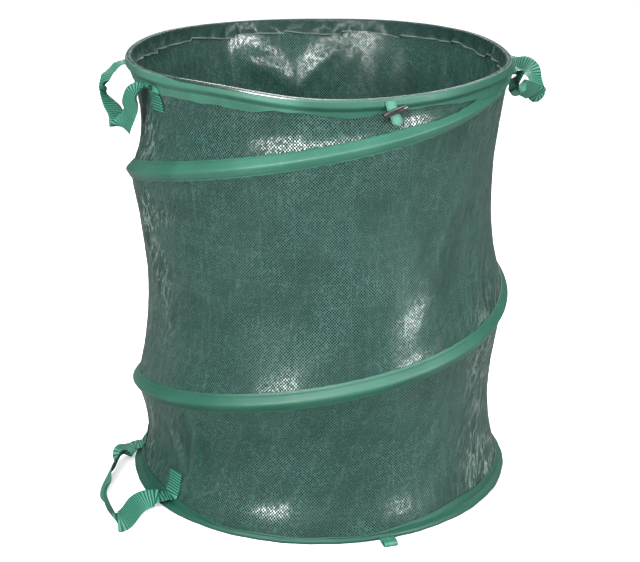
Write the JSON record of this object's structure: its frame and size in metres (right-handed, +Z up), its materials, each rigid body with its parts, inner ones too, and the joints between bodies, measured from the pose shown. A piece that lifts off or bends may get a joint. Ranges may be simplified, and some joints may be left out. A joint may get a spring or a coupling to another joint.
{
  "type": "pop up leaf bag",
  "caption": "round pop-up garden bag with a coiled spring wire sewn round a soft necked wall, webbing handles at rim and base, and toggles with loops that hold it flat",
  "frame": {"origin": "centre of the bag's floor, on the underside where it rests on the ground", "axes": "+Z up along the bag's axis, -Y the front that the picture shows, +X to the right in the picture"},
  "size_m": [0.5553, 0.5076, 0.5392],
  "materials": {
    "woven_pe_green": "woven polyethylene sheet, dull sheen",
    "hem_pe_green": "woven polyethylene sheet, folded",
    "base_pe_green": "woven polyethylene sheet",
    "binding_green": "flat binding tape, satin",
    "sleeve_green": "flat binding tape, satin",
    "webbing_green": "ribbed webbing",
    "loop_tape_green": "flat tape",
    "spring_steel": "drawn spring wire",
    "ferrule_steel": "crimped tube",
    "toggle_black": "moulded, glossy"
  },
  "bodies": {
    "base": {"base_panel": "base_pe_green", "base_wire": "spring_steel", "base_wire_ferrule": "ferrule_steel", "base_binding": "binding_green", "side_wall": "woven_pe_green", "coil_wire": "spring_steel", "coil_sleeve": "sleeve_green", "lower_handle_front_end": "webbing_green", "lower_handle_back_end": "webbing_green"},
    "rim": {"rim_wire": "spring_steel", "rim_wire_ferrule": "ferrule_steel", "rim_binding": "binding_green", "rim_hem": "hem_pe_green", "left_handle_front_end": "webbing_green", "left_handle_back_end": "webbing_green", "right_handle_front_end": "webbing_green", "right_handle_back_end": "webbing_green"},
    "left_handle": {"left_handle": "webbing_green"},
    "right_handle": {"right_handle": "webbing_green"},
    "lower_handle": {"lower_handle": "webbing_green"},
    "front_toggle": {"front_toggle": "toggle_black", "front_toggle_tape": "loop_tape_green"},
    "back_toggle": {"back_toggle": "toggle_black", "back_toggle_tape": "loop_tape_green"},
    "front_closure_loop": {"front_closure_loop": "loop_tape_green"},
    "back_closure_loop": {"back_closure_loop": "loop_tape_green"}
  },
  "joints": [
    {"name": "collapse", "type": "slide", "parent": "base", "child": "rim", "axis": [0, 0, 1], "range_m": [-0.42, 0], "stiffness_N_per_m": 70, "springref_m": 0.06, "deforming": ["side_wall", "coil_wire", "coil_sleeve"]},
    {"name": "left_handle_swing", "type": "hinge", "parent": "rim", "child": "left_handle", "pos_m": [-0.22078, -0.04717, 0.51391], "axis": [-0.2606, 0.9649, 0.0332], "range_deg": [0, 110]},
    {"name": "right_handle_swing", "type": "hinge", "parent": "rim", "child": "right_handle", "pos_m": [0.21724, 0.06229, 0.51277], "axis": [0.2881, -0.9575, 0.0105], "range_deg": [0, 95]},
    {"name": "lower_handle_swing", "type": "hinge", "parent": "base", "child": "lower_handle", "pos_m": [-0.22096, -0.07331, 0.01365], "axis": [-0.3173, 0.9483, -0.0086], "range_deg": [0, 80]},
    {"name": "front_toggle_swing", "type": "hinge", "parent": "rim", "child": "front_toggle", "pos_m": [0.07908, -0.21726, 0.51972], "axis": [-0.9397, -0.342, 0], "range_deg": [0, 110]},
    {"name": "back_toggle_swing", "type": "hinge", "parent": "rim", "child": "back_toggle", "pos_m": [-0.03617, 0.22835, 0.53359], "axis": [0.9877, 0.1564, 0], "range_deg": [0, 110]},
    {"name": "front_loop_swing", "type": "hinge", "parent": "base", "child": "front_closure_loop", "pos_m": [0.07691, -0.22987, 0.0037], "axis": [-0.9483, -0.3173, 0], "range_deg": [0, 75]},
    {"name": "back_loop_swing", "type": "hinge", "parent": "base", "child": "back_closure_loop", "pos_m": [-0.03374, 0.24004, 0.0037], "axis": [0.9903, 0.1392, 0], "range_deg": [0, 75]}
  ]
}
